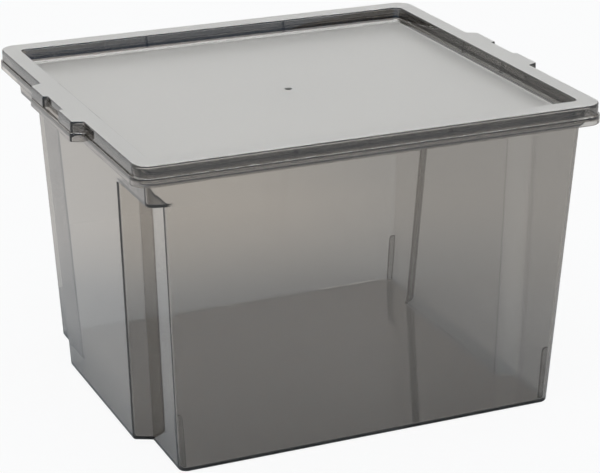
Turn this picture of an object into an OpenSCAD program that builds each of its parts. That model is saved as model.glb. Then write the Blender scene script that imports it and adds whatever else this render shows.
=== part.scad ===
// Portable file box: a drafted tub with stepped ends and a drop-on lid with a sunken stacking well.
// Millimetres. X runs along the box from handle to handle, Y from front to back, Z up.
// The origin is on the ground under the centre of the box.

/* [Tub walls] */
// Outside length of the tub at the floor, measured over both ends
tub_length = 356; // [320:1:440]
// Outside depth of the tub at the floor, from front wall to back wall
tub_depth = 315; // [280:1:360]
// Height of the whole box with its lid on
box_height = 275; // [200:1:330]
// Thickness of the walls
wall = 2.2; // [1.8:0.1:2.6]
// Thickness of the floor
floor_thick = 2.6; // [2:0.1:3.5]
// Lean of the walls away from the vertical, in degrees
draft = 2.9; // [2:0.1:3.4]
// Radius of the four upright corners
corner_r = 7.5; // [5:0.5:10]
// Radius of the rounded edge round the underside of the floor
foot_r = 3; // [1:0.5:3.5]

/* [Stepped ends] */
// Depth of the step between the middle panel and the corners of each end
step_depth = 14.5; // [10:0.5:15]
// Width in plan of the slanted side of a step
step_slant = 7.2; // [6:0.1:9]
// Half width of the bulged panel of the left end at the floor
bulge_half = 84; // [80:1:90]
// How much further the bulged panel reaches to each side under its ledges
bulge_spread = 14.2; // [8:0.1:18]
// Half width of the sunken panel of the right end at the floor
sunken_half = 92; // [88:1:98]
// How much the sunken panel narrows on each side under its ledge
sunken_narrowing = 11.1; // [6:0.1:14]
// Distance from the top of the closed box down to the ledges over the steps
ledge_drop = 40; // [34:0.5:46]

/* [Rim and collar] */
// Distance from the top of the closed box down to the top of the rim flange
flange_drop = 10; // [9.8:0.1:12]
// Height of the down-turned skirt round the rim flange
flange_skirt = 7.4; // [5:0.1:9]
// How far the rim flange stands out beyond the lid's edge
flange_lip = 1.5; // [0.5:0.1:2]
// How far the collar under the lid steps out from the wall below it
collar_step = 3; // [2.8:0.1:4]

/* [Lid] */
// How far the lid stands out beyond the tub's walls at the ends
lid_end_overhang = 11.2; // [10.5:0.1:15]
// How far the lid stands out beyond the tub's walls at front and back
lid_side_overhang = 12.4; // [10.5:0.1:15]
// Thickness of the lid
lid_wall = 2.2; // [1.8:0.1:2.4]
// Height of the skirt round the lid
lid_skirt = 9.5; // [8:0.1:9.6]
// Radius of the lid's outer corners
lid_corner_r = 14; // [12:0.5:20]
// How far the stacking well stays inside the line of the tub's walls
well_gap = 4.1; // [3:0.1:6]
// How far the well is sunk below the lid's frame
well_drop = 14; // [10:0.5:14.5]
// How much the well's walls lean in from top to bottom
well_lean = 2; // [1.5:0.1:3]
// Radius of the well's corners
well_r = 5.5; // [4:0.5:7]

/* [Handles] */
// How far the handle tabs stand out from the ends of the lid
tab_reach = 9.6; // [8:0.1:12]
// Half width over both tabs at their outer edge
tab_half = 54; // [48:1:58]
// How much wider the pair of tabs is on each side where it leaves the lid
tab_flare = 4; // [2:0.5:6]
// Half width of the finger notch between the tabs
notch_half = 21; // [18:0.5:24]
// Depth of the finger notch
notch_depth = 4; // [3:0.5:5]
// Height of the skirt that is left inside the finger notch
notch_skirt = 5.4; // [4.5:0.1:6]

/* [Small features] */
// How far the corner fins stand in from the end walls
fin_reach = 5; // [4:0.5:8]
// Height of the corner fins above the floor
fin_height = 47; // [35:1:60]
// Thickness of the corner fins
fin_thick = 2; // [1.5:0.1:3]
// Distance of the corner fins from the front and back walls
fin_inset = 5.3; // [4:0.1:8]
// Half distance between the two locating nibs on each long side of the well
nib_long_half = 68; // [50:1:90]
// Half distance between the two locating nibs at each end of the well
nib_end_half = 35.5; // [25:0.5:45]
// Width of a locating nib
nib_wide = 1.6; // [1.2:0.1:2.4]
// Radius of the shallow dimple in the middle of the lid
dimple_r = 4.5; // [3:0.5:6]

/* [Hidden] */
smoke = [0.42, 0.42, 0.43, 0.55];
smoke_light = [0.62, 0.63, 0.63, 0.6];

// Steps of each large and each small rounded corner
corner_steps = 6;
small_steps = 2;

// Rise of each ledge from its inner to its outer edge, and of the slope that leads out to the collar
ledge_rise = 1;
collar_rise = 3;

// Heights above the ground
z_ledge = box_height - ledge_drop;
z_flange = box_height - flange_drop;
z_flange_under = z_flange - wall;
z_skirt = z_flange - flange_skirt;
z_collar = z_skirt - 2;
z_seat = box_height - lid_wall;
z_lid_skirt = box_height - lid_skirt;
z_notch = box_height - notch_skirt;
z_well = box_height - well_drop;
z_well_under = z_well - lid_wall;

// How far a wall stands out from its foot at height z, and how much of the way to the ledges z is
function lean(z) = z * tan(draft);
function rise(z) = min(1, z / z_ledge);

// Half sizes of the tub at the floor, of the lid, of the rim flange and of the well at its top
half_x = tub_length / 2;
half_y = tub_depth / 2;
lid_x = half_x + lean(z_seat) + lid_end_overhang;
lid_y = half_y + lean(z_seat) + lid_side_overhang;
rim_x = lid_x + flange_lip;
rim_y = lid_y + flange_lip;
well_x = half_x + lean(z_seat) - well_gap;
well_y = half_y + lean(z_seat) - well_gap;

// The finger notch's side runs out over this width in plan, and its skirt ends this far inside it
notch_slant = 1;
notch_end = 1;

// How far the corner between two faces moves along Y for each millimetre that both faces are set in,
// where one of the faces lies across X and the other leaves it by run along X and by slant along Y
function corner_shift(run, slant) = (norm([run, slant]) - slant) / run;
step_shift = corner_shift(step_depth, step_slant);
tab_shift = corner_shift(tab_reach, tab_flare);
notch_shift = corner_shift(notch_depth, notch_slant);

// A rounded corner at v between a and b with n steps, which starts at distance d from v, or nearer where the
// neighbours are close
function soft(a, v, b, d, n) =
    let (
        u = a - v,
        w = b - v,
        e = min(d, 0.45 * norm(u), 0.45 * norm(w)),
        p = v + u * e / norm(u),
        q = v + w * e / norm(w)
    )
    [for (i = [0:n]) let (t = i / n) (1 - t) * (1 - t) * p + 2 * t * (1 - t) * v + t * t * q];

// A quarter circle of radius r round c, from the given angle, at height z
function quarter(c, r, start, z) =
    [
        for (i = [0:corner_steps])
            let (a = start + 90 * i / corner_steps)
            [c[0] + r * cos(a), c[1] + r * sin(a), z]
    ];

// The bends of half an end, from the middle out, each as [reach, distance from the middle, rounding].
// mid is the reach of the middle panel, out that of the corner, tip and notch the sizes of the handle,
// off how far the face is set in, and crest where the middle panel ends. notched adds the notch's bends.
function end_bends(mid, out, tip, notch, off, crest, notched) =
    let (
        inner = notch > 0 ? off * notch_shift : 0,
        side = tip > 0 ? off * tab_shift : 0,
        gap = mid + tip - notch
    )
    concat(
        notched ? [
            [gap, notch_half - notch_slant - notch_end + inner, 0.3],
            [gap, notch_half - notch_slant + inner, 0.3],
            [mid + tip, notch_half + inner, 0.35]
        ] : [],
        [
            [mid + tip, tab_half - side, 1.8],
            [mid, tab_half + tab_flare - side, 3],
            [mid, crest, 2],
            [out, crest + step_slant, 2]
        ]
    );

// The points of half an end, as [reach, distance from the middle, height]. If low is given, the points of the
// first bend, which lie inside the finger notch, are at that height and the others at height z.
function end_points(bends, corner, z, low) =
    let (at = concat([[bends[0][0], 0]], [for (b = bends) [b[0], b[1]]], [corner]))
    [
        for (i = [0:len(bends) - 1])
            for (p = soft(at[i], at[i + 1], at[i + 2], bends[i][2], small_steps))
                [p[0], p[1], i == 0 && low != undef ? low : z]
    ];

// One closed outline at height z, as points from the middle of the right end anticlockwise. x and y are its
// half sizes, r is its corner radius, step the depth of the steps at this height and up how much of the way
// to the ledges it is. tip and notch are the sizes of the handles, low is the height inside the finger
// notch of an outline that has notch bends, and off is how far it is set in from the outer surface.
function outline(x, y, r, z, low, step, up, tip, notch, off) =
    let (
        back = x - step,
        notched = low != undef,
        sunken = sunken_half - sunken_narrowing * up + off * step_shift,
        bulge = bulge_half + bulge_spread * up - off * step_shift,
        right = end_points(end_bends(back, x, tip, notch, off, sunken, notched), [x, y - r], z, low),
        left = end_points(end_bends(x, back, tip, notch, off, bulge, notched), [back, y - r], z, low),
        last = len(right) - 1
    )
    concat(
        right,
        quarter([x - r, y - r], r, 0, z),
        quarter([r - back, y - r], r, 90, z),
        [for (i = [last:-1:0]) [-left[i][0], left[i][1], left[i][2]]],
        [for (p = left) [-p[0], -p[1], p[2]]],
        quarter([r - back, r - y], r, 180, z),
        quarter([x - r, r - y], r, 270, z),
        [for (i = [last:-1:0]) [right[i][0], -right[i][1], right[i][2]]]
    );

// A closed skin over a stack of outlines with equally many points, with its first and last outline filled in.
// The fillings are fans round a point that sees the whole outline past the stepped ends.
module skin(rings) {
    n = len(rings[0]);
    m = len(rings);
    hub = [-half_x / 2, 0];
    sides = [
        for (j = [0:m - 2])
            for (i = [0:n - 1])
                let (a = j * n + i, b = j * n + (i + 1) % n)
                each [[a, a + n, b], [b, a + n, b + n]]
    ];
    first_cap = [for (i = [0:n - 1]) [i, (i + 1) % n, m * n]];
    last_cap = [for (i = [0:n - 1]) [(m - 1) * n + (i + 1) % n, (m - 1) * n + i, m * n + 1]];
    polyhedron(
        points = concat(
            [for (ring = rings) each ring],
            [[hub[0], hub[1], rings[0][0][2]], [hub[0], hub[1], rings[m - 1][0][2]]]
        ),
        faces = concat(sides, first_cap, last_cap),
        convexity = 12
    );
}

// The tub's wall at height z, set in by off, with stepped or plain ends, and stepped out by out at the collar
function tub_ring(z, off, stepped, out = 0) =
    outline(
        half_x + lean(z) + out - off, half_y + lean(z) + out - off, corner_r + out - off, z, undef,
        stepped ? step_depth : 0, rise(z), 0, 0, off
    );

// The rim flange at height z, set in by off, with its handles
function rim_ring(z, off) =
    outline(
        rim_x - off, rim_y - off, lid_corner_r + flange_lip - off, z, undef,
        0, 1, tab_reach - flange_lip / 2, 0, off
    );

module tub_shell() {
    edge = 0.6;
    fillet = 2;
    // A face set in by the wall thickness turns this much higher at the foot and head of the collar's slope
    turn = wall * tan(22.5);
    ledge_top = z_ledge + wall;
    skin([
        for (a = [0:22.5:90])
            tub_ring(foot_r * (1 - cos(a)), foot_r * (1 - sin(a)), true),
        tub_ring(z_ledge - ledge_rise / 2, 0, true),
        tub_ring(z_ledge + ledge_rise / 2, 0, false),
        tub_ring(z_collar - collar_rise, 0, false),
        tub_ring(z_collar, 0, false, collar_step),
        tub_ring(z_flange_under, 0, false, collar_step),
        rim_ring(z_flange_under, wall),
        rim_ring(z_skirt, wall),
        rim_ring(z_skirt, 0),
        rim_ring(z_flange - edge, 0),
        rim_ring(z_flange, edge),
        tub_ring(z_flange, 0, false, collar_step),
        tub_ring(z_seat, 0, false, collar_step),
        tub_ring(z_seat, wall, false, collar_step),
        tub_ring(z_collar + turn, wall, false, collar_step),
        tub_ring(z_collar - collar_rise + turn, wall, false),
        tub_ring(ledge_top + ledge_rise / 2, wall, false),
        tub_ring(ledge_top - ledge_rise / 2, wall, true),
        tub_ring(floor_thick + fillet, wall, true),
        tub_ring(floor_thick + fillet * 0.3, wall + fillet * 0.3, true),
        tub_ring(floor_thick, wall + fillet, true)
    ]);
}

// A fin on the inside of an end wall, with its foot at the origin and the rounded corner of its free edge on top
module fin() {
    root = 1;
    top_r = 3;
    free = lean(fin_height) - fin_reach;
    rotate([90, 0, 0])
        linear_extrude(fin_thick, center = true)
            polygon(concat(
                [[-fin_reach, 0], [root, 0], [root + lean(fin_height), fin_height]],
                [
                    for (a = [90:15:180])
                        [free + top_r + top_r * cos(a), fin_height - top_r + top_r * sin(a)]
                ]
            ));
}

// The fins in the four inside corners
module corner_fins() {
    sink = 0.5;
    inside = half_x - wall;
    for (s = [-1, 1])
        translate([0, s * (half_y - wall - fin_inset), floor_thick - sink]) {
            translate([inside, 0, 0])
                fin();
            mirror([1, 0, 0])
                translate([inside - step_depth, 0, 0])
                    fin();
        }
}

module tub() {
    color(smoke)
        union() {
            tub_shell();
            corner_fins();
        }
}

// The lid's edge at height z, set in by off, with its tabs and finger notches
function lid_ring(z, off, low = undef) =
    outline(
        lid_x - off, lid_y - off, lid_corner_r - off, z, low == undef ? z : low,
        0, 1, tab_reach, notch_depth, off
    );

// How far the well's inside face stands in from its upper edge at height z
function well_in(z) = well_lean * (box_height - z) / well_drop;

// The stacking well at height z, set out by out from its inside face
function well_ring(z, out) =
    outline(
        well_x - well_in(z) + out, well_y - well_in(z) + out, well_r + out, z, z,
        0, 1, 0, 0, 0
    );

module lid_shell() {
    fillet = 2.2;
    edge = 1.5;
    brim = 1.2;
    skin([
        well_ring(z_well_under, lid_wall - fillet),
        well_ring(z_well_under + fillet * 0.3, lid_wall - fillet * 0.3),
        well_ring(z_well_under + fillet, lid_wall),
        well_ring(z_seat, lid_wall),
        lid_ring(z_seat, lid_wall),
        lid_ring(z_lid_skirt, lid_wall, z_notch),
        lid_ring(z_lid_skirt, 0, z_notch),
        lid_ring(box_height - edge, 0),
        lid_ring(box_height - edge * 0.3, edge * 0.3),
        lid_ring(box_height, edge),
        well_ring(box_height, brim),
        well_ring(box_height - brim * 0.3, brim * 0.3),
        well_ring(box_height - brim, 0),
        well_ring(z_well + fillet, 0),
        well_ring(z_well + fillet * 0.3, -fillet * 0.3),
        well_ring(z_well, -fillet)
    ]);
}

// A nib on the outside of the well's wall, which fills the play between the well at well_half and the collar
// that stands on a floor of half size foot
module nib(well_half, foot) {
    play = 0.4;
    root = 1;
    lead = 1;
    z_low = z_well + 1.5;
    reach = foot + lean(z_low) + collar_step - wall - play;
    rotate([90, 0, 0])
        linear_extrude(nib_wide, center = true)
            polygon([
                [well_half - well_in(z_low) + lid_wall - root, z_low],
                [reach - lead, z_low],
                [reach, z_low + lead],
                [reach, z_seat],
                [well_half - well_in(z_seat) + lid_wall - root, z_seat]
            ]);
}

// Two nibs on each side of the well
module nibs() {
    for (turn = [0, 180], s = [-1, 1])
        rotate([0, 0, turn]) {
            translate([0, s * nib_end_half, 0])
                nib(well_x, half_x);
            rotate([0, 0, 90])
                translate([0, s * nib_long_half, 0])
                    nib(well_y, half_y);
        }
}

module lid() {
    dimple_depth = 0.5;
    // Radius of the ball that leaves a dimple this wide and deep
    ball = (dimple_r * dimple_r + dimple_depth * dimple_depth) / (2 * dimple_depth);
    color(smoke_light)
        difference() {
            union() {
                lid_shell();
                nibs();
            }
            translate([0, 0, z_well - dimple_depth + ball])
                sphere(ball, $fn = 96);
        }
}

tub();
lid();
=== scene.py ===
"""Looks of the portable file box: smoke-clear moulded tub and drop-on lid, with its stage."""

import math
from functools import reduce

import bpy
import numpy as np
from bpy.props import FloatProperty, FloatVectorProperty, PointerProperty
from mathutils import Euler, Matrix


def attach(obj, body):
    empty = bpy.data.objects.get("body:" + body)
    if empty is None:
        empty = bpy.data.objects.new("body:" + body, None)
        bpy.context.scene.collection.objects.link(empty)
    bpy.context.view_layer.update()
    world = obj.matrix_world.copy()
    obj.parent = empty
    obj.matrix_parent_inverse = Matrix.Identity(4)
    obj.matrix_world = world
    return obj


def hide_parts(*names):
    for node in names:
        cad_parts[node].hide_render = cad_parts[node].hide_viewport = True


bl_info = {
    "name": "Portable File Box",
    "version": (1, 0, 0),
    "blender": (4, 5, 0),
    "location": "3D View > Sidebar > File Box",
    "description": "Moulded shells, smoke-clear plastic and stage of a portable file box",
    "category": "Object",
}

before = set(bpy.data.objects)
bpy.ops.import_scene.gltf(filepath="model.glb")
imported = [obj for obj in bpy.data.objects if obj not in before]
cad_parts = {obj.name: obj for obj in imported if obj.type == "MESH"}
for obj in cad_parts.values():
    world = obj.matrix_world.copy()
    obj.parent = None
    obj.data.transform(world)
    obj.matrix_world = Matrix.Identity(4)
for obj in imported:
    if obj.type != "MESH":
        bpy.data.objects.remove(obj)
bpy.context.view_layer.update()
MM = 0.001


def length(name, description, millimetres):
    """A length property with its default in millimetres."""
    return FloatProperty(
        name=name,
        description=description,
        default=millimetres * MM,
        min=0.0,
        unit="LENGTH",
        subtype="DISTANCE",
        precision=5,
    )


def colour(name, description, default):
    """A colour property."""
    return FloatVectorProperty(
        name=name, description=description, default=default, subtype="COLOR", min=0.0, max=1.0
    )


def density(name, description, per_metre):
    """A property for how much light a metre of plastic takes up."""
    return FloatProperty(name=name, description=description, default=per_metre, min=0.0)


def fraction(name, description, default):
    """A property from 0 to 1."""
    return FloatProperty(name=name, description=description, default=default, min=0.0, max=1.0)


class FileBoxSizes(bpy.types.PropertyGroup):
    """Sizes that both mouldings share."""

    tub_length: length("Tub Length", "Length of the tub at the floor over both ends", 356)
    tub_depth: length("Tub Depth", "Depth of the tub at the floor", 315)
    height: length("Height", "Height of the closed box", 275)
    wall: length("Wall", "Thickness of the walls of tub and lid", 2.2)
    floor_thick: length("Floor", "Thickness of the tub's floor", 2.6)
    draft: FloatProperty(
        name="Draft",
        description="Lean of the walls away from the vertical",
        default=math.radians(2.9),
        subtype="ANGLE",
    )
    step_depth: length("Step Depth", "Depth of the step in each end", 14.5)
    step_slant: length("Step Slant", "Width in plan of a step's slanted side", 7.2)
    bulge_half: length("Bulge Half Width", "Half width of the bulged panel at the floor", 84)
    bulge_spread: length("Bulge Spread", "Growth of the bulged panel's half width", 14.2)
    sunken_half: length("Sunken Half Width", "Half width of the sunken panel at the floor", 92)
    sunken_narrowing: length("Sunken Narrowing", "Loss of the sunken panel's half width", 11.1)
    ledge_drop: length("Ledge Drop", "From the top down to the ledges over the steps", 40)
    flange_drop: length("Flange Drop", "From the top down to the rim flange", 10)
    flange_skirt: length("Flange Skirt", "Height of the skirt round the rim flange", 7.4)
    collar_step: length("Collar Step", "How far the collar stands out from the wall", 3)
    end_overhang: length("End Overhang", "How far the lid stands out beyond the ends", 11.2)
    side_overhang: length("Side Overhang", "How far the lid stands out at front and back", 12.4)
    lid_skirt: length("Lid Skirt", "Height of the skirt round the lid", 9.5)
    well_drop: length("Well Drop", "Depth of the lid's stacking well", 14)
    tab_reach: length("Tab Reach", "How far the handle tabs stand out", 9.6)
    tab_half: length("Tab Half Width", "Half width over both tabs", 54)
    notch_half: length("Notch Half Width", "Half width of the finger notch", 21)


class FileBoxLook(bpy.types.PropertyGroup):
    """Finish of the smoke-clear plastic and of the stage."""

    tub_tint: colour(
        "Tub Tint", "Colour that light takes on inside the tub's plastic", (0.483, 0.452, 0.415)
    )
    lid_tint: colour(
        "Lid Tint", "Colour that light takes on inside the lid's plastic", (0.48, 0.465, 0.445)
    )
    tub_smoke: density("Tub Smoke", "Density of the smoke tint in the tub, per metre", 450.0)
    lid_smoke: density("Lid Smoke", "Density of the smoke tint in the lid, per metre", 700.0)
    refraction: FloatProperty(
        name="Refraction",
        description="Refractive index of the plastic",
        default=1.57,
        min=1.0,
        max=2.0,
    )
    satin: fraction("Satin", "Roughness of the grained level faces of the lid", 0.3)
    frost: fraction("Frost", "Share of light that the grain of those faces scatters", 0.45)
    frost_colour: colour(
        "Frost Colour", "Colour of the light that the grain scatters", (0.65, 0.65, 0.63)
    )
    backdrop: colour(
        "Backdrop", "Colour of the floor and of everything round the box", (1.0, 1.0, 1.0)
    )


class Maths:
    """A number in a shader, as a node's output socket, that takes part in Python expressions."""

    def __init__(self, paint, socket):
        self.paint = paint
        self.socket = socket

    def _with(self, operation, *values):
        made = self.paint.node("ShaderNodeMath", {"operation": operation}, *values)
        return Maths(self.paint, made.outputs[0])

    def __add__(self, other):
        return self._with("ADD", self, other)

    def __radd__(self, other):
        return self._with("ADD", other, self)

    def __sub__(self, other):
        return self._with("SUBTRACT", self, other)

    def __rsub__(self, other):
        return self._with("SUBTRACT", other, self)

    def __mul__(self, other):
        return self._with("MULTIPLY", self, other)

    def __rmul__(self, other):
        return self._with("MULTIPLY", other, self)

    def __pow__(self, other):
        return self._with("POWER", self, other)

    def __rpow__(self, other):
        return self._with("POWER", other, self)

    def between(self, low, high):
        """0 below low, 1 above high and a smooth rise in between."""
        made = self.paint.node(
            "ShaderNodeMapRange",
            {"interpolation_type": "SMOOTHSTEP"},
            Value=self,
            **{"From Min": low, "From Max": high},
        )
        return Maths(self.paint, made.outputs["Result"])

    def within(self, low, high, edge):
        """1 from low to high, falling smoothly to 0 over an edge on either side."""
        return self.between(low - edge, low) * (1.0 - self.between(high, high + edge))

    def larger(self, other):
        """The larger of the two."""
        return self._with("MAXIMUM", self, other)

    def apart(self, other):
        """How far this is from other, above or below."""
        return self._with("ABSOLUTE", self - other)


class Paint:
    """One node tree, emptied, whose nodes all come from its node method."""

    def __init__(self, owner):
        owner.use_nodes = True
        self.tree = owner.node_tree
        self.tree.nodes.clear()

    def node(self, kind, settings=None, *values, **named):
        """A node of that kind. settings are its own, set first. values fill its inputs in order
        and named fills them by name. Each is a number, a colour, a vector, a socket or a Maths."""
        made = self.tree.nodes.new(kind)
        for key, setting in (settings or {}).items():
            setattr(made, key, setting)
        for key, value in [*enumerate(values), *named.items()]:
            if isinstance(value, Maths):
                value = value.socket
            if isinstance(value, bpy.types.NodeSocket):
                self.tree.links.new(value, made.inputs[key])
            else:
                made.inputs[key].default_value = value
        return made

    def place(self, space="Object"):
        """Where the shaded point lies, or with Generated the direction of a ray to the world."""
        return self.node("ShaderNodeTexCoord").outputs[space]

    def axes(self, vector):
        """The X, Y and Z of a vector, as numbers for expressions."""
        made = self.node("ShaderNodeSeparateXYZ", None, vector)
        return [Maths(self, axis) for axis in made.outputs]

    def noise(self, place, scale, detail, roughness):
        """The value of a noise at a place, as a number for expressions."""
        settings = {"Vector": place, "Scale": scale, "Detail": detail, "Roughness": roughness}
        return Maths(self, self.node("ShaderNodeTexNoise", None, **settings).outputs["Fac"])

    def mix(self, share, first, second):
        """The colour that lies between two colours, with that share of the second."""
        sides = {"A": (*first, 1.0), "B": (*second, 1.0)}
        return self.node("ShaderNodeMix", {"data_type": "RGBA"}, Factor=share, **sides).outputs[2]


# Noises of the plastic's surface, each as its scale, detail and roughness
MOULD_WAVES = (9.0, 1.5, 0.4)
MOULD_PEEL = (260.0, 1.0, 0.5)
SCUFFS = (4.0, 3.0, 0.6)
RUBBED = (22.0, 4.0, 0.6)
# How the scuffs' noise is drawn out into scratches and turned, and where in it and in the rubbed
# noise the marks begin and are at their strongest
SCUFF_STRETCH = (30.0, 260.0, 30.0)
SCUFF_TURN = (0.3, 0.2, 0.6)
SCUFF_RANGE = (0.66, 0.74)
RUBBED_RANGE = (0.5, 0.8)
# Roughness of clean plastic and of frost, and what rubbing and scuffs add to it
CLEAR_ROUGHNESS = 0.012
RUBBED_ROUGHNESS = 0.02
SCUFF_ROUGHNESS = 0.03
FROST_ROUGHNESS = 0.55
# Heights of peel and scuffs against the waves, and strength and depth of the bump they make
PEEL_HEIGHT = 0.012
SCUFF_HEIGHT = 0.004
BUMP = {"Strength": 0.25, "Distance": 0.2 * MM}
# Height over which the grain fades at the edge of its band
GRAIN_EDGE = 0.3 * MM


def smoke_plastic(name, look, tint, smoke, seed, grained=()):
    """Clear smoke-tinted plastic with a mirror gloss: a faint waviness from the mould, fine scuffs
    that only a raking light shows, and a little dulling where hands and papers rub it. grained
    holds the lowest and the highest height in metres of each band of faces with the frosty grain
    of an etched mould."""
    plastic = bpy.data.materials.new(name)
    paint = Paint(plastic)
    place = paint.place()
    shift = (seed, seed * 0.7, 0.0)
    moved = paint.node("ShaderNodeMapping", None, place, Location=shift).outputs[0]
    turned = {"Scale": SCUFF_STRETCH, "Rotation": SCUFF_TURN}
    drawn = paint.node("ShaderNodeMapping", None, moved, **turned).outputs[0]
    scuffs = paint.noise(drawn, *SCUFFS).between(*SCUFF_RANGE)
    rubbed = paint.noise(moved, *RUBBED).between(*RUBBED_RANGE)
    height = (
        paint.noise(moved, *MOULD_WAVES)
        + paint.noise(moved, *MOULD_PEEL) * PEEL_HEIGHT
        + scuffs * SCUFF_HEIGHT
    )
    bumpy = paint.node("ShaderNodeBump", None, Height=height, **BUMP).outputs[0]

    rough = CLEAR_ROUGHNESS + rubbed * RUBBED_ROUGHNESS + scuffs * SCUFF_ROUGHNESS
    if grained:
        up = paint.axes(place)[2]
        grain = reduce(Maths.larger, [up.within(low, high, GRAIN_EDGE) for low, high in grained])
        rough = rough + grain * look.satin
    clear = {
        "Base Color": (1.0, 1.0, 1.0, 1.0),
        "Roughness": rough,
        "IOR": look.refraction,
        "Transmission Weight": 1.0,
        "Normal": bumpy,
    }
    shader = paint.node("ShaderNodeBsdfPrincipled", None, **clear)
    if grained:
        frosted = {
            "Base Color": (*look.frost_colour, 1.0),
            "Roughness": FROST_ROUGHNESS,
            "Normal": bumpy,
        }
        frost = paint.node("ShaderNodeBsdfPrincipled", None, **frosted)
        both = (shader.outputs[0], frost.outputs[0])
        shader = paint.node("ShaderNodeMixShader", None, grain * look.frost, *both)
    inside = paint.node("ShaderNodeVolumeAbsorption", None, Color=(*tint, 1.0), Density=smoke)
    ends = {"Surface": shader.outputs[0], "Volume": inside.outputs[0]}
    paint.node("ShaderNodeOutputMaterial", None, **ends)
    return plastic


# Columns of a profile. Each row is one outline of a moulding: its half sizes along X and Y, the
# radius of its main corners, its height, the depth of the ends' steps, the half widths where the
# sunken and the bulged panel end, the reach and narrowing of the handles, the depth and widening
# of their notch, the rise of the edge inside the notch, the amount by which the face is set in,
# and the rounding of the profile at this row.
COLUMNS = (
    *("x", "y", "corner", "z", "step", "sunken", "bulge"),
    *("tip", "side", "notch", "inner", "lift", "off", "round"),
)
# Columns in which a profile's bends are measured
PATH = [COLUMNS.index(key) for key in ("x", "z", "step")]


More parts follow.
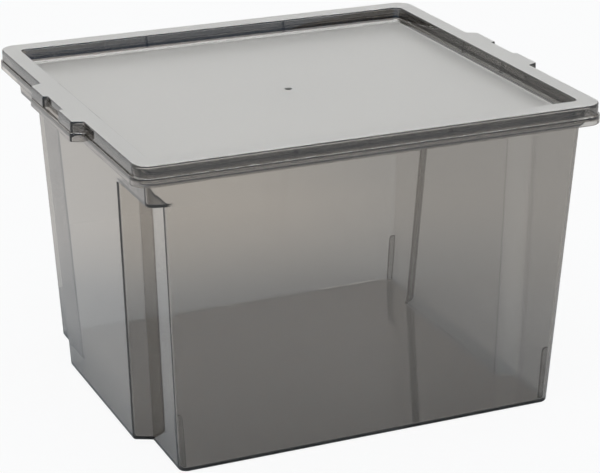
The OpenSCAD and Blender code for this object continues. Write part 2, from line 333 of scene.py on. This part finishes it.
class BoxShape:
    """Profiles of both mouldings, from the sizes. Lengths in here are in millimetres."""

    def __init__(self, sizes):
        for key in FileBoxSizes.__annotations__:
            value = getattr(sizes, key)
            setattr(self, key, value if key == "draft" else value / MM)
        # Radii in plan: the tub's and the lid's corners, the well's, the least one there, and
        # those of outward and inward bends with what is added to them at the handles and steps
        self.corner_r = 7.5
        self.lid_corner_r = 14.0
        self.well_r = 5.5
        self.least_r = 1.0
        self.convex_r = 2.8
        self.hollow_r = 0.8
        self.tab_root_more = 1.5
        self.fold_more = 0.5
        self.sunken_crest_more = 8.0
        self.sunken_crease_more = 7.0
        # Notch and handles: width in plan of their slanted sides, depth, skirt and lip
        self.tab_flare = 4.0
        self.notch_slant = 1.0
        self.notch_depth = 4.0
        self.notch_skirt = 5.4
        self.flange_lip = 1.5
        # Well: gap to the tub's wall, lean, and where its last rings lie inside its foot
        self.well_gap = 4.1
        self.well_lean = 2.0
        self.panel_inset = 14.0
        self.under_inset = 6.0
        # Tub: rounding of its foot, last rings of its floor, half height of the ledges' slope,
        # collar below the rim's skirt, and height of the slope under the collar
        self.foot_r = 3.0
        self.floor_inset = 8.0
        self.ledge_half = 0.5
        self.collar_drop = 2.0
        self.collar_slope = 3.0
        # Play between lid and collar, and between the lid's outline and that of the solids
        self.seat_play = 0.12
        self.outline_play = 0.002
        self.z_ledge = self.height - self.ledge_drop
        self.z_flange = self.height - self.flange_drop
        self.z_flange_under = self.z_flange - self.wall
        self.z_skirt = self.z_flange - self.flange_skirt
        self.z_collar = self.z_skirt - self.collar_drop
        self.z_seat = self.height - self.wall
        self.z_well = self.height - self.well_drop
        self.half_x = self.tub_length / 2
        self.half_y = self.tub_depth / 2
        self.seat_x = self.half_x + self.lean(self.z_seat)
        self.seat_y = self.half_y + self.lean(self.z_seat)
        self.lid_x = self.seat_x + self.end_overhang - self.outline_play
        self.lid_y = self.seat_y + self.side_overhang - self.outline_play

    def lean(self, z):
        """How far the tub's wall stands out at that height beyond its foot."""
        return z * math.tan(self.draft)

    def well_inward(self, z):
        """How far the well's wall stands in at that height from its top."""
        return self.well_lean * (self.height - z) / self.well_drop

    @staticmethod
    def shift(run, slant):
        """How far the bend between a face and a slanted side moves along the face for each
        millimetre that both are set in. The slanted side goes run deep over a width of slant."""
        return (math.hypot(run, slant) - slant) / run

    def row(self, x, y, corner, z, rounding, off=0.0, step=0.0, tip=0.0, notch=0.0, lift=0.0):
        """One outline's row of the profile."""
        up = min(1.0, z / self.z_ledge)
        ends = off * self.shift(self.step_depth, self.step_slant)
        values = {
            "x": x,
            "y": y,
            "corner": corner,
            "z": z,
            "step": step,
            "sunken": self.sunken_half - self.sunken_narrowing * up + ends,
            "bulge": self.bulge_half + self.bulge_spread * up - ends,
            "tip": tip,
            "side": off * self.shift(self.tab_reach, self.tab_flare) if tip else 0.0,
            "notch": notch,
            "inner": off * self.shift(self.notch_depth, self.notch_slant) if notch else 0.0,
            "lift": lift,
            "off": off,
            "round": rounding,
        }
        return [values[key] for key in COLUMNS]

    def tub_row(self, z, rounding, off=0.0, stepped=False, out=0.0):
        """An outline of the tub's wall, which stands out by out and is set in by off."""
        return self.row(
            self.half_x + self.lean(z) + out - off,
            self.half_y + self.lean(z) + out - off,
            self.corner_r + out - off,
            z,
            rounding,
            off,
            step=self.step_depth if stepped else 0.0,
        )

    def rim_row(self, z, rounding, off=0.0):
        """An outline of the rim flange with its handles."""
        return self.row(
            self.lid_x + self.flange_lip - off,
            self.lid_y + self.flange_lip - off,
            self.lid_corner_r + self.flange_lip - off,
            z,
            rounding,
            off,
            tip=self.tab_reach - self.flange_lip / 2,
        )

    def lid_row(self, z, rounding, off=0.0, lift=0.0):
        """An outline of the lid's edge with its tabs and notches."""
        return self.row(
            self.lid_x - off,
            self.lid_y - off,
            self.lid_corner_r - off,
            z,
            rounding,
            off,
            tip=self.tab_reach,
            notch=self.notch_depth,
            lift=lift,
        )

    def well_row(self, z, rounding, out=0.0):
        """An outline of the stacking well's wall."""
        return self.row(
            self.seat_x - self.well_gap - self.well_inward(z) + out,
            self.seat_y - self.well_gap - self.well_inward(z) + out,
            max(self.well_r + out, self.least_r),
            z,
            rounding,
        )

    def tub_profile(self):
        """Rows from the middle of the underside up the outside, over the rim and collar, and down
        the inside to the middle of the floor. Each has its height and rounding first."""
        t = self.wall
        out = self.collar_step
        turn = t * math.tan(math.pi / 8)
        seat = self.z_seat - self.seat_play
        outer, inner = self.z_ledge, self.z_ledge + t
        half, slope = self.ledge_half, self.z_collar - self.collar_slope
        return [
            self.tub_row(0.0, 0.0, off=self.floor_inset, stepped=True),
            self.tub_row(0.0, self.foot_r, stepped=True),
            self.tub_row(outer - half, 0.8, stepped=True),
            self.tub_row(outer + half, 0.8),
            self.tub_row(slope, 1.0),
            self.tub_row(self.z_collar, 1.0, out=out),
            self.tub_row(self.z_flange_under, 0.6, out=out),
            self.rim_row(self.z_flange_under, 2.3, off=t),
            self.rim_row(self.z_skirt, 0.5, off=t),
            self.rim_row(self.z_skirt, 0.5),
            self.rim_row(self.z_flange, 0.9),
            self.tub_row(self.z_flange, 0.6, out=out),
            self.tub_row(seat, 0.5, out=out),
            self.tub_row(seat, 0.5, off=t, out=out),
            self.tub_row(self.z_collar + turn, 1.0, off=t, out=out),
            self.tub_row(slope + turn, 1.0, off=t),
            self.tub_row(inner + half, 0.8, off=t),
            self.tub_row(inner - half, 0.8, off=t, stepped=True),
            self.tub_row(self.floor_thick, 2.0, off=t, stepped=True),
            self.tub_row(self.floor_thick, 0.0, off=t + self.floor_inset, stepped=True),
        ]

    def lid_profile(self):
        """Rows from the middle of the well's underside out under the frame, round the skirt, back
        over the frame and down the well. Each has its height and rounding first."""
        t = self.wall
        seat = self.z_seat + self.seat_play
        z_skirt = self.height - self.lid_skirt
        lift = self.lid_skirt - self.notch_skirt
        return [
            self.well_row(self.z_well - t, 0.0, out=-self.under_inset),
            self.well_row(self.z_well - t, 2.2, out=t),
            self.well_row(seat, 0.6, out=t),
            self.lid_row(seat, 2.5, off=t),
            self.lid_row(z_skirt, 0.45, off=t, lift=lift),
            self.lid_row(z_skirt, 0.45, lift=lift),
            self.lid_row(self.height, 1.2),
            self.well_row(self.height, 1.2),
            self.well_row(self.z_well, 5.0),
            self.well_row(self.z_well, 0.0, out=-self.panel_inset),
        ]


# Points on each rounded bend of a profile and of an outline
PROFILE_POINTS = 6
OUTLINE_POINTS = 9
# A rounding takes up at least this much of a side, in millimetres, and at most this share of it
LEAST_PROFILE_REACH = 0.05
LEAST_OUTLINE_REACH = 0.12
MOST_REACH = 0.45
# Radius of the first bend inside a notch, the notch's lip as a share of an outward bend, and the
# least radius of all, in millimetres
NOTCH_R = 0.2
LIP_SHARE = 0.4
LEAST_R = 0.3
# The bends inside the two finger notches, among the 32 of an outline
NOTCH_BENDS = [0, 15, 16, 31]


def bend_sides(before, here, after):
    """The lengths of both sides of many bends at once, and half of the turn at each."""
    back, ahead = before - here, after - here
    back_length = np.linalg.norm(back, axis=-1)
    ahead_length = np.linalg.norm(ahead, axis=-1)
    cosine = np.sum(back * ahead, axis=-1) / (back_length * ahead_length)
    return back_length, ahead_length, (math.pi - np.arccos(np.clip(cosine, -1, 1))) / 2


def rounded_bends(before, here, after, sides, reach, count):
    """Rounds off many bends at once. Each arc starts and ends at distance reach from its bend and
    touches both sides. It is written as a rational quadratic curve of t from A over V to B,
    ((1-t)^2 A + 2w t(1-t) V + t^2 B) / ((1-t)^2 + 2w t(1-t) + t^2), where V is the bend and w
    the cosine of half its turn."""
    back, ahead, half_turn = sides
    a = (here + (before - here) * (reach / back)[..., None])[..., None, :]
    b = (here + (after - here) * (reach / ahead)[..., None])[..., None, :]
    v = here[..., None, :]
    w = np.cos(half_turn)[..., None, None]
    t = np.linspace(0.0, 1.0, count)[:, None]
    bottom = (1 - t) ** 2 + 2 * w * t * (1 - t) + t**2
    return ((1 - t) ** 2 * a + 2 * w * t * (1 - t) * v + t**2 * b) / bottom


def rounded_profile(rows):
    """The rows with each bend of the profile rounded. The turn is measured in the space of x, z
    and step, and the same blend of three rows carries all the other columns along."""
    rows = np.array(rows, float)
    before, here, after = rows[:-2], rows[1:-1], rows[2:]
    sides = bend_sides(before[:, PATH], here[:, PATH], after[:, PATH])
    back, ahead, half_turn = sides
    wanted = here[:, COLUMNS.index("round")] * np.tan(half_turn)
    reach = np.minimum(wanted, MOST_REACH * np.minimum(back, ahead))
    reach = np.maximum(reach, LEAST_PROFILE_REACH)
    blend = rounded_bends(before, here, after, sides, reach, PROFILE_POINTS)
    return np.vstack([rows[:1], blend.reshape(-1, rows.shape[1]), rows[-1:]])


def quarter_bends(c, shape, mid, out, crest, bulged):
    """The 8 bends from the middle of an end to its corner, and their radii, for every row. c holds
    the profile's columns, mid and out are the X of the end's panel and of what lies beside it."""
    gap = mid + c["tip"] - c["notch"]
    tip = mid + c["tip"]
    width = shape.notch_half + c["inner"]
    foot = width - shape.notch_slant
    tab = shape.tab_half - c["side"]
    bends = (
        (gap, foot - shape.notch_slant),
        (gap, foot),
        (tip, width),
        (tip, tab),
        (mid, tab + shape.tab_flare),
        (mid, crest),
        (out, crest + shape.step_slant),
        (out, c["y"]),
    )
    convex, hollow = shape.convex_r - c["off"], shape.hollow_r + c["off"]
    crest_r, crease_r = convex, hollow
    if not bulged:
        crest_r, crease_r = hollow + shape.sunken_crest_more, convex + shape.sunken_crease_more
    radii = (
        np.full_like(mid, NOTCH_R),
        hollow,
        convex * LIP_SHARE,
        convex,
        hollow + shape.tab_root_more,
        crest_r + shape.fold_more,
        crease_r + shape.fold_more,
        c["corner"],
    )
    bends = np.stack([np.stack(bend, -1) for bend in bends], axis=1)
    return bends, np.maximum(np.stack(radii, axis=1), LEAST_R)


def outlines(rows, shape):
    """Points of every outline: 32 bends round the box, each rounded by the same number of points.
    The first 8 run from the middle of the right end to its rear corner, and the others mirror
    them, with the bulged panel in place of the sunken one on the left."""
    c = {key: rows[:, i] for i, key in enumerate(COLUMNS)}
    panel = c["x"] - c["step"]
    right, right_r = quarter_bends(c, shape, panel, c["x"], c["sunken"], False)
    left, left_r = quarter_bends(c, shape, c["x"], panel, c["bulge"], True)
    flip_x, flip_y = np.array([-1.0, 1.0]), np.array([1.0, -1.0])
    quarters = [right, (left * flip_x)[:, ::-1], left * flip_x * flip_y, (right * flip_y)[:, ::-1]]
    bends = np.concatenate(quarters, axis=1)
    radii = np.concatenate([right_r, left_r[:, ::-1], left_r, right_r[:, ::-1]], axis=1)
    lifted = np.zeros(radii.shape)
    lifted[:, NOTCH_BENDS] = c["lift"][:, None]

    before, after = np.roll(bends, 1, axis=1), np.roll(bends, -1, axis=1)
    sides = bend_sides(before, bends, after)
    back, ahead, half_turn = sides
    most = MOST_REACH * np.minimum(back, ahead)
    reach = np.clip(radii * np.tan(half_turn), LEAST_OUTLINE_REACH, most)
    flat = rounded_bends(before, bends, after, sides, reach, OUTLINE_POINTS)
    height = (c["z"][:, None] + lifted)[..., None, None]
    height = np.broadcast_to(height, flat.shape[:3] + (1,))
    return np.concatenate([flat, height], axis=-1).reshape(len(rows), -1, 3)


# Radius and height of the rings on the lid's panel: a very low swelling, and in its middle the
# pit that the mould's gate leaves
SWELLING = (
    *((50.0, 0.0), (42.0, 0.04), (34.0, 0.16), (26.0, 0.34), (18.0, 0.53)),
    *((11.0, 0.67), (7.0, 0.72), (3.5, 0.74), (3.3, -0.4), (3.1, -1.3), (1.2, -1.35)),
)


def swelling(shape, count):
    """Rings of count points for the swelling and the gate's pit."""
    radii, rise = (np.array(column)[:, None] for column in zip(*SWELLING))
    turn = (np.arange(count) + 0.5) * math.tau / count
    height = np.broadcast_to(shape.z_well + rise, (len(radii), count))
    return np.stack([radii * np.cos(turn), radii * np.sin(turn), height], axis=-1)


def closed_skin(rings):
    """Vertices and faces of a closed moulding: a grid of quads over the rings, whose number of
    points is the same, with its first and last ring filled in by one face each."""
    levels, around, _ = rings.shape
    near = np.arange(levels * around).reshape(levels, around)
    right = np.roll(near, -1, axis=1)
    quads = np.stack([near[:-1], right[:-1], right[1:], near[1:]], axis=-1).reshape(-1, 4)
    faces = [*quads.tolist(), near[0, ::-1].tolist(), near[-1].tolist()]
    return rings.reshape(-1, 3) * MM, faces


# Bends that turn by more than this stay sharp
SHARP_BEND = math.radians(38)


def new_piece(name, verts, faces, material):
    """A mesh object at the origin, smooth but for its sharp bends, with normals that follow its
    large faces."""
    mesh = bpy.data.meshes.new(name)
    mesh.from_pydata(verts.tolist(), [], faces)
    mesh.validate()
    mesh.materials.append(material)
    piece = bpy.data.objects.new(name, mesh)
    bpy.context.scene.collection.objects.link(piece)
    mesh.shade_smooth()
    mesh.set_sharp_from_angle(angle=SHARP_BEND)
    weighted = piece.modifiers.new("Face Weighted Normals", "WEIGHTED_NORMAL")
    weighted.keep_sharp = True
    return piece


def flat_plate(outline, thickness):
    """A flat plate with the given outline: two arrays of its points' places in the outline, one of
    their places across it, and its faces."""
    a, b = np.tile(np.array(outline, float), (2, 1)).T
    count = len(outline)
    across = np.repeat([-thickness / 2, thickness / 2], count)
    ring = np.arange(count)
    following = np.roll(ring, -1)
    sides = np.stack([ring, following, following + count, ring + count], axis=-1)
    return a, b, across, [*sides.tolist(), ring[::-1].tolist(), (ring + count).tolist()]


def weld(piece, plates):
    """Fuses the plates onto the piece by one exact boolean each, applied to its mesh."""
    for verts, faces in plates:
        mesh = bpy.data.meshes.new("plate")
        mesh.from_pydata((verts * MM).tolist(), [], faces)
        plate = bpy.data.objects.new("plate", mesh)
        bpy.context.scene.collection.objects.link(plate)
        join = piece.modifiers.new("Join", "BOOLEAN")
        join.operation = "UNION"
        join.solver = "EXACT"
        join.object = plate
        piece.modifiers.move(len(piece.modifiers) - 1, 0)
        at_hand = {"object": piece, "active_object": piece, "selected_objects": [piece]}
        with bpy.context.temp_override(**at_hand):
            bpy.ops.object.modifier_apply(modifier=join.name)
        bpy.data.objects.remove(plate)
        bpy.data.meshes.remove(mesh)


def fin_outline(shape, reach=5.0, tall=47.0, root=1.0, rounding=3.0):
    """Outline of a corner fin in the plane of its plate, with its free top corner rounded."""
    free = shape.lean(tall) - reach
    turn = np.radians(np.linspace(90, 180, 9))
    across = free + rounding + rounding * np.cos(turn)
    up = tall - rounding + rounding * np.sin(turn)
    top = np.stack([across, up], -1)
    return [[-reach, 0.0], [root, 0.0], [root + shape.lean(tall), tall], *top.tolist()]


def fins(shape, thickness=2.0, inset=5.3, sunk=0.5):
    """The four fins in the tub's inside corners, each on an end wall, inset from the side wall
    and sunk a little into the floor."""
    plates = []
    a, b, across, faces = flat_plate(fin_outline(shape), thickness)
    middle_y = shape.half_y - shape.wall - inset
    inside = shape.half_x - shape.wall
    for side in (-1, 1):
        for end, foot in ((1, inside), (-1, inside - shape.step_depth)):
            y = side * middle_y - end * across
            z = shape.floor_thick - sunk + b
            plates.append((np.stack([end * (foot + a), y, z], -1), faces))
    return plates


# Half the distance between the two nibs of an end of the well, and of one of its long sides
NIB_SPREADS = (35.5, 68.0)


def nibs(shape, thickness=1.6, above_panel=1.5, above_seat=0.6, play=0.4, chamfer=1.0, sunk=1.0):
    """The eight locating nibs on the outside of the lid's well, which end just inside the tub's
    collar and are sunk a little into the well's wall."""
    plates = []
    low = shape.z_well + above_panel
    high = shape.z_seat + above_seat
    walls = ((shape.half_x, shape.seat_x), (shape.half_y, shape.seat_y))
    for along_y, ((half_size, seat), spread) in enumerate(zip(walls, NIB_SPREADS)):
        well = seat - shape.well_gap
        reach = half_size + shape.lean(low) + shape.collar_step - shape.wall - play
        foot, head = (well - shape.well_inward(z) + shape.wall - sunk for z in (low, high))
        outer = [[reach - chamfer, low], [reach, low + chamfer], [reach, high]]
        a, b, across, faces = flat_plate([[foot, low], *outer, [head, high]], thickness)
        for end in (-1, 1):
            for side in (-1, 1):
                x, y = end * a, side * spread - end * across
                if along_y:
                    x, y = side * spread + end * across, end * a
                plates.append((np.stack([x, y, b], -1), faces))
    return plates


# How far the grain's bands reach below the lid's panel and below its frame, and above either, in
# millimetres. The pit of the gate mark goes deeper, so it stays clear.
GRAIN_BELOW_PANEL = 0.3
GRAIN_BELOW_FRAME = 0.1
GRAIN_ABOVE = 1.0
# Places of the two mouldings' marks in the noises
TUB_SEED = 0.0
LID_SEED = 3.1


class FILEBOX_OT_tub(bpy.types.Operator):
    """Build the tub: floor, drafted walls with stepped ends, rim flange, collar and corner fins"""

    bl_idname = "filebox.tub"
    bl_label = "Tub"

    def execute(self, context):
        shape = BoxShape(context.scene.filebox_sizes)
        look = context.scene.filebox_look
        rings = outlines(rounded_profile(shape.tub_profile()), shape)
        finish = (look, look.tub_tint, look.tub_smoke, TUB_SEED)
        material = smoke_plastic("Smoke Plastic Tub", *finish)
        tub = new_piece("tub_shell", *closed_skin(rings), material)
        weld(tub, fins(shape))
        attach(tub, "tub")
        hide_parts("tub")
        return {"FINISHED"}


class FILEBOX_OT_lid(bpy.types.Operator):
    """Build the lid: frame, sunken stacking well, skirt, tabs with finger notches, and nibs"""

    bl_idname = "filebox.lid"
    bl_label = "Lid"

    def execute(self, context):
        shape = BoxShape(context.scene.filebox_sizes)
        look = context.scene.filebox_look
        rings = outlines(rounded_profile(shape.lid_profile()), shape)
        rings = np.concatenate([rings, swelling(shape, rings.shape[1])])
        levels = ((shape.z_well, GRAIN_BELOW_PANEL), (shape.height, GRAIN_BELOW_FRAME))
        grained = [((z - below) * MM, (z + GRAIN_ABOVE) * MM) for z, below in levels]
        finish = (look, look.lid_tint, look.lid_smoke, LID_SEED, grained)
        material = smoke_plastic("Smoke Plastic Lid", *finish)
        lid = new_piece("lid_shell", *closed_skin(rings), material)
        weld(lid, nibs(shape))
        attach(lid, "lid")
        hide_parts("lid")
        return {"FINISHED"}


# The camera, fitted to the photograph
CAMERA_LENS = 127.82
CAMERA_PLACE = (-0.69795, -1.61116, 0.78724)
CAMERA_TURN = (math.radians(69.369), 0.0, math.radians(-23.751))
# The softbox above the box, a little to its left and front
SOFTBOX_SIZE = (2.4, 1.8)
SOFTBOX_POWER = 11.0
SOFTBOX_PLACE = (-0.8, -0.6, 2.4)
SOFTBOX_TURN = (math.radians(-12), math.radians(-16), 0.0)
# The way from the box to the camera in plan
TO_CAMERA = (-0.4, -0.917)
# Brightness of the room: what lights the matt floor, what the plastic shows of the walls, and
# what it shows of the ceiling. Below, the room is as bright as the backdrop.
ROOM_LIGHT = 0.75
ROOM_BRIGHT = 1.55
ROOM_ABOVE = 8.0
# Colour of the room's darker front, which the plastic shows behind the camera
ROOM_FRONT = (0.26, 0.42, 0.64)
# Where that front, the walls and the ceiling begin and are at their full, as parts of a ray's
# direction, and the range of heights over which the front ends
FRONT_RANGE = (0.25, 0.85)
FRONT_END = (0.45, 0.85)
WALL_RANGE = (0.17, 0.42)
CEILING_RANGE = (0.66, 0.80)
# The floor: half its size, its gap to the box, its matt colour, and the share of its own glow
# that the camera sees
FLOOR_HALF = 6.0
FLOOR_GAP = 0.3 * MM
FLOOR_MATT = (0.70, 0.76, 0.82, 1.0)
FLOOR_GLOW = 0.92
# The rest of this concerns the floor's glow as the plastic shows it, which carries painted light
# and shade: half the size of the box's foot, the narrow and the wide painted shadow round it, each
# as the distances where it is full and where it has gone and its share, and the ranges in metres
# of the painted lit strip on the left, of the painted shade on the right, of the painted shade at
# the front and of the painted warm light behind, with how much each changes
BOX_FOOT = (0.178, 0.157)
NARROW_SHADOW, NARROW_SHARE = (0.0, 0.012), 0.16
WIDE_SHADOW, WIDE_SHARE = (-0.03, 0.28), 0.84
LEFT_RANGE, LEFT_LEAST, LEFT_LOSS = (0.17, 0.22), 0.5, 0.12
RIGHT_RANGE, RIGHT_LOSS = (0.1, 0.36), 0.45
FLOOR_FRONT_RANGE, FLOOR_FRONT_LOSS = (0.1, 0.9), 0.6
BEHIND_RANGE, BEHIND_SLANT, BEHIND_ACROSS = (0.15, 0.3), 0.5, (-0.25, 0.0)
# Colour of the painted warm light in the floor's glow behind the box
PAINTED_WARM_LIGHT_BEHIND = (1.0, 0.97, 0.92)


def rays_seen(paint):
    """Two numbers: 1 for rays from the camera, and 1 for those that gloss or clear plastic sends
    on."""
    path = paint.node("ShaderNodeLightPath").outputs
    kinds = ("Is Camera Ray", "Is Glossy Ray", "Is Transmission Ray")
    camera, gloss, through = (Maths(paint, path[kind]) for kind in kinds)
    return camera, gloss.larger(through)


def towards_camera(x, y):
    """How far a place or direction lies towards the camera."""
    return x * TO_CAMERA[0] + y * TO_CAMERA[1]


def surroundings(backdrop):
    """The world: plain backdrop to the camera, and a bright room to the plastic, with a ceiling of
    light and a darker, cooler front."""
    world = bpy.data.worlds.new("Surroundings")
    paint = Paint(world)
    x, y, z = paint.axes(paint.place("Generated"))
    camera, passed_on = rays_seen(paint)
    front = towards_camera(x, y).between(*FRONT_RANGE)
    shade = passed_on * front * (1.0 - z.between(*FRONT_END))
    walls = 1.0 + z.between(*WALL_RANGE) * (1.0 - shade) * (ROOM_BRIGHT - 1.0)
    ceiling = z.between(*CEILING_RANGE) * (ROOM_ABOVE - ROOM_BRIGHT)
    level = camera + (1.0 - camera) * (
        passed_on * walls + passed_on * ceiling + (1.0 - passed_on) * ROOM_LIGHT
    )
    hue = paint.mix(shade, backdrop, ROOM_FRONT)
    sky = paint.node("ShaderNodeBackground", None, Color=hue, Strength=level)
    paint.node("ShaderNodeOutputWorld", None, Surface=sky.outputs[0])
    return world


def floor_finish(backdrop):
    """A floor that glows in the backdrop's colour to the camera. To the plastic its glow carries a
    painted shadow close to the box, painted shade at the front and on the right, a painted lit
    strip on the left and painted warm light behind, and it is matt to all other light."""
    finish = bpy.data.materials.new("White Floor")
    paint = Paint(finish)
    x, y, _ = paint.axes(paint.place())
    camera, passed_on = rays_seen(paint)
    beside = (x.apart(0.0) - BOX_FOOT[0]).larger(0.0)
    before = (y.apart(0.0) - BOX_FOOT[1]).larger(0.0)
    away = (beside * beside + before * before) ** 0.5
    # Painted shadow in the glow round the box's foot: little glow close to it, full glow far off
    outside_painted_shadow = (
        away.between(*NARROW_SHADOW) * NARROW_SHARE + away.between(*WIDE_SHADOW) * WIDE_SHARE
    )
    # Painted light and shade in the glow: a lit strip on the left, shade on the right and at the
    # front
    left = (0.0 - x).between(*LEFT_RANGE)
    right = x.between(*RIGHT_RANGE)
    front = towards_camera(x, y).between(*FLOOR_FRONT_RANGE)
    painted_glow_share = (
        outside_painted_shadow.larger(left * LEFT_LEAST)
        * (1.0 - left * LEFT_LOSS)
        * (1.0 - right * RIGHT_LOSS)
        * (1.0 - front * FLOOR_FRONT_LOSS)
    )
    # Painted warm light in the glow behind the box
    back = (y + x * BEHIND_SLANT).between(*BEHIND_RANGE)
    hue = paint.mix(passed_on * back * x.between(*BEHIND_ACROSS), backdrop, PAINTED_WARM_LIGHT_BEHIND)
    # The floor glows evenly to the camera, and with its painted light and shade to the plastic
    share = camera * FLOOR_GLOW + (1.0 - camera) * passed_on * painted_glow_share
    matt = paint.node("ShaderNodeBsdfDiffuse", None, Color=FLOOR_MATT)
    glow = paint.node("ShaderNodeEmission", None, Color=hue, Strength=1.0)
    both = paint.node("ShaderNodeMixShader", None, share, matt.outputs[0], glow.outputs[0])
    paint.node("ShaderNodeOutputMaterial", None, Surface=both.outputs[0])
    return finish


def placed(name, data, location=(0.0, 0.0, 0.0), turn=(0.0, 0.0, 0.0)):
    """An object in the scene with that mesh, lamp or camera."""
    thing = bpy.data.objects.new(name, data)
    thing.location = location
    thing.rotation_euler = Euler(turn)
    bpy.context.scene.collection.objects.link(thing)
    return thing


class FILEBOX_OT_stage(bpy.types.Operator):
    """Set up the white floor, the soft light and the camera"""

    bl_idname = "filebox.stage"
    bl_label = "Stage"

    def execute(self, context):
        scene = context.scene
        scene.view_settings.view_transform = "Standard"
        backdrop = tuple(scene.filebox_look.backdrop)
        scene.world = surroundings(backdrop)

        mesh = bpy.data.meshes.new("floor")
        corners = ((-1, -1), (1, -1), (1, 1), (-1, 1))
        verts = [(x * FLOOR_HALF, y * FLOOR_HALF, -FLOOR_GAP) for x, y in corners]
        mesh.from_pydata(verts, [], [(0, 1, 2, 3)])
        mesh.materials.append(floor_finish(backdrop))
        floor = placed("floor", mesh)

        lamp = bpy.data.lights.new("Softbox", "AREA")
        lamp.shape = "RECTANGLE"
        lamp.size, lamp.size_y = SOFTBOX_SIZE
        lamp.energy = SOFTBOX_POWER
        placed("Softbox", lamp, SOFTBOX_PLACE, SOFTBOX_TURN)

        lens = bpy.data.cameras.new("Camera")
        lens.lens = CAMERA_LENS
        lens.sensor_width = 36.0
        lens.clip_end = 50.0
        scene.camera = placed("Camera", lens, CAMERA_PLACE, CAMERA_TURN)
        return {"FINISHED"}


OPERATORS = (FILEBOX_OT_tub, FILEBOX_OT_lid, FILEBOX_OT_stage)


class FILEBOX_PT_panel(bpy.types.Panel):
    """Sidebar panel of the file box"""

    bl_idname = "FILEBOX_PT_panel"
    bl_label = "File Box"
    bl_space_type = "VIEW_3D"
    bl_region_type = "UI"
    bl_category = "File Box"

    def draw(self, context):
        for operator in OPERATORS:
            self.layout.operator(operator.bl_idname)
        for group in (context.scene.filebox_sizes, context.scene.filebox_look):
            column = self.layout.column()
            for key in group.__annotations__:
                column.prop(group, key)


CLASSES = (FileBoxSizes, FileBoxLook, *OPERATORS, FILEBOX_PT_panel)


def register():
    for cls in CLASSES:
        bpy.utils.register_class(cls)
    bpy.types.Scene.filebox_sizes = PointerProperty(type=FileBoxSizes)
    bpy.types.Scene.filebox_look = PointerProperty(type=FileBoxLook)


def unregister():
    del bpy.types.Scene.filebox_look
    del bpy.types.Scene.filebox_sizes
    for cls in reversed(CLASSES):
        bpy.utils.unregister_class(cls)


def main():
    """Builds the dressed box and its stage."""
    register()
    for build in (bpy.ops.filebox.tub, bpy.ops.filebox.lid, bpy.ops.filebox.stage):
        build()


if __name__ == "__main__":
    main()
